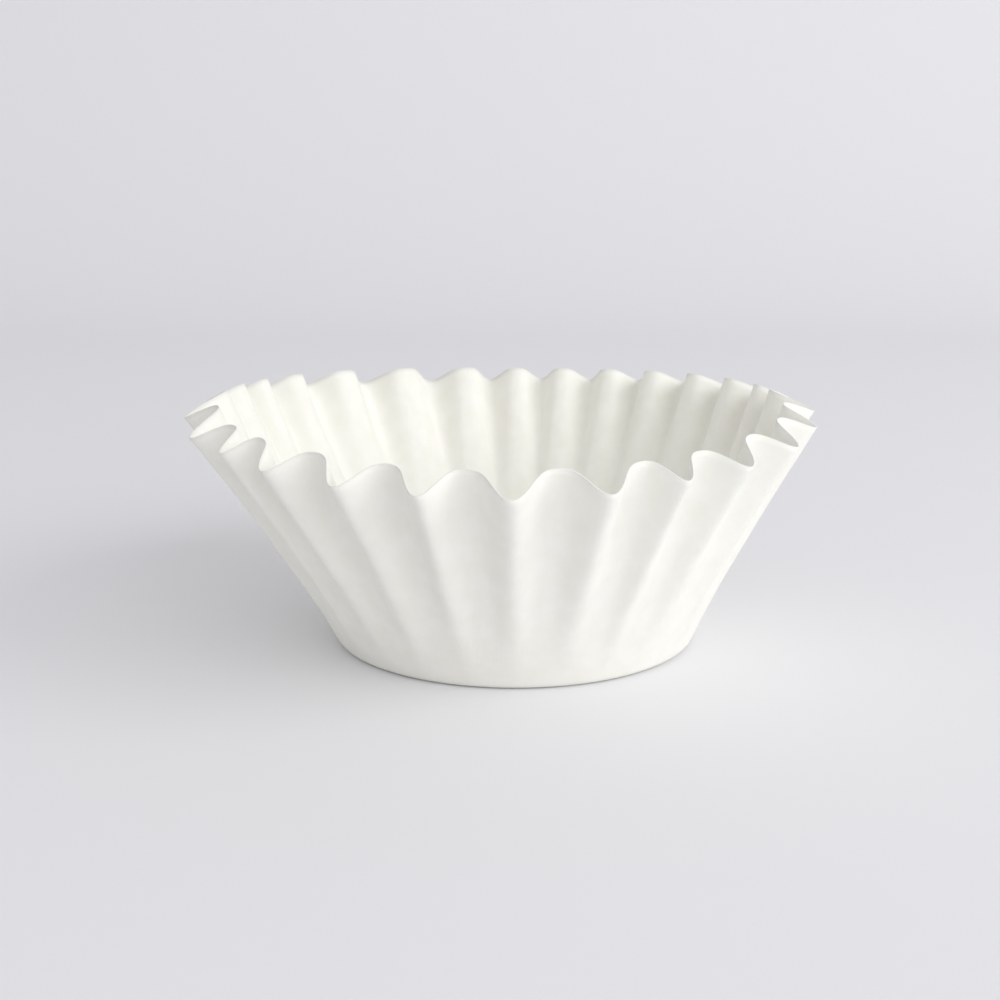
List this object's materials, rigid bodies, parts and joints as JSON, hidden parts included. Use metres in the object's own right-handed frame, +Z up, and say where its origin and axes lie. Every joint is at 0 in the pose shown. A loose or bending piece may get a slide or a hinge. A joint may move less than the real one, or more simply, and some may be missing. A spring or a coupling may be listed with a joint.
{
  "type": "paper coffee filter",
  "caption": "Round sheet of creped paper pressed into a flat-bottomed basket with a fluted, flaring wall, to hold ground coffee in a drip brewer.",
  "frame": {"origin": "centre of the flat base on its underside, where the filter stands", "axes": "+Z up out of the mouth, -Y towards the front, -X to the left, the side the mouth leans to"},
  "size_m": [0.1429, 0.1551, 0.0569],
  "materials": {
    "filter_paper": "matte, creped, bleached"
  },
  "bodies": {
    "root": {"coffee_filter": "filter_paper"}
  },
  "joints": []
}
